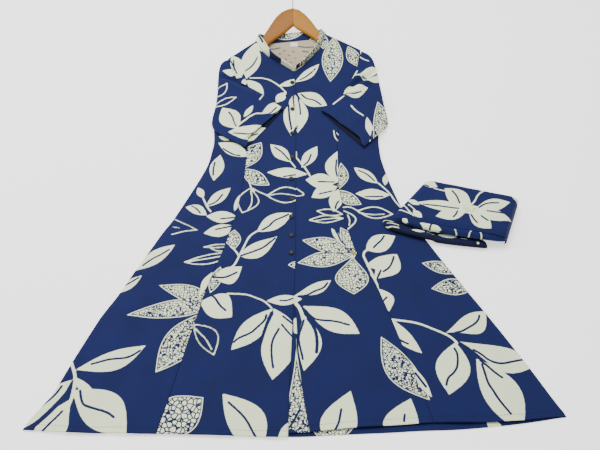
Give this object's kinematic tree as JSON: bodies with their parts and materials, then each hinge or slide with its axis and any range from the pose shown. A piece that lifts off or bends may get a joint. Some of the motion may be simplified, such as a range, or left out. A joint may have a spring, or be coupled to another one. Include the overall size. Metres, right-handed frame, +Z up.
{
  "type": "kurti and palazzo set on a wooden hanger",
  "caption": "A-line button-front kurti laid on its back with elbow sleeves folded in, a wooden hanger inside its shoulders, and a folded palazzo resting half on the skirt.",
  "frame": {"origin": "bottom centre of the whole set, on the surface it lies on", "axes": "+X towards the wearer's left, where the palazzo lies; +Y from hem to hanger hook; +Z up, out of the front of the kurti"},
  "size_m": [1.101, 1.3416, 0.0989],
  "materials": {
    "kurti_cotton": "plain-woven navy cotton printed with pale leaves, flowers and netted petals",
    "palazzo_cotton": "the same printed cotton, folded",
    "buttons": "dark olive-brown dished resin",
    "label": "blank white woven tape",
    "hanger_wood": "clear-varnished orange-yellow beech",
    "hook_wire": "bright drawn wire"
  },
  "bodies": {
    "root": {"back_panel": "kurti_cotton", "front_centre_right": "kurti_cotton", "front_centre_left": "kurti_cotton", "front_side_right": "kurti_cotton", "front_side_left": "kurti_cotton", "underlap_band": "kurti_cotton", "collar_band": "kurti_cotton", "sleeve_right": "kurti_cotton", "sleeve_left": "kurti_cotton", "button_1": "buttons", "button_2": "buttons", "button_3": "buttons", "button_4": "buttons", "button_5": "buttons", "button_6": "buttons", "button_7": "buttons", "button_8": "buttons", "button_9": "buttons", "neck_label": "label", "hanger_arm_left": "hanger_wood", "hanger_arm_right": "hanger_wood", "hanger_hook": "hook_wire", "palazzo_core": "palazzo_cotton", "palazzo_top_fold": "palazzo_cotton", "palazzo_front_roll_upper": "palazzo_cotton", "palazzo_front_roll_lower": "palazzo_cotton"}
  },
  "joints": []
}
